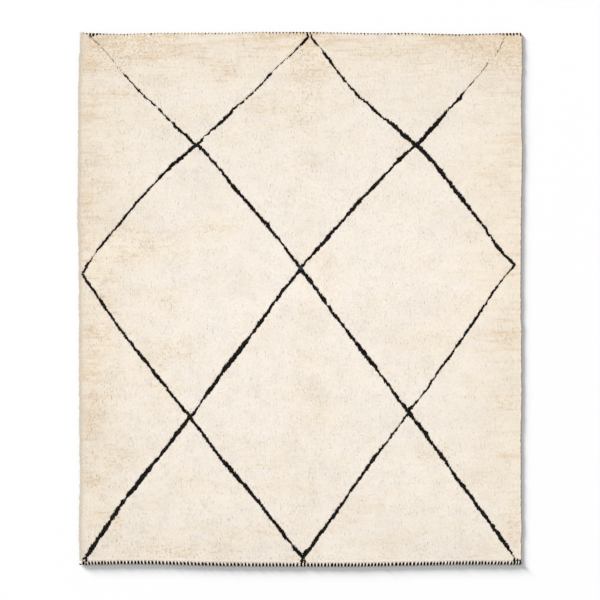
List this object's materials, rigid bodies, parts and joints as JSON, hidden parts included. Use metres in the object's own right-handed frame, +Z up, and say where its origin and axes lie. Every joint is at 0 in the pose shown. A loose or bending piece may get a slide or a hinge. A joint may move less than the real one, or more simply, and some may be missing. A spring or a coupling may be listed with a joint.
{
  "type": "beni ourain rug",
  "caption": "Rectangular hand-knotted shag wool rug in cream with a dark open diamond lattice, lying flat, with whip-stitched bound ends and shaggy side edges.",
  "frame": {"origin": "on the floor under the middle of the rug", "axes": "+Z up out of the pile, +Y along the rug towards the end that the pile leans to (the top of the picture), +X across it to the right"},
  "size_m": [2.4949, 3.0001, 0.0242],
  "materials": {
    "pile_wool": "thick cream wool pile, dull and slightly uneven in tone",
    "binding_wool": "black and cream wool whip stitches over a rolled warp end"
  },
  "bodies": {
    "root": {"rug_field": "pile_wool", "end_binding_front": "binding_wool", "end_binding_back": "binding_wool"}
  },
  "joints": []
}
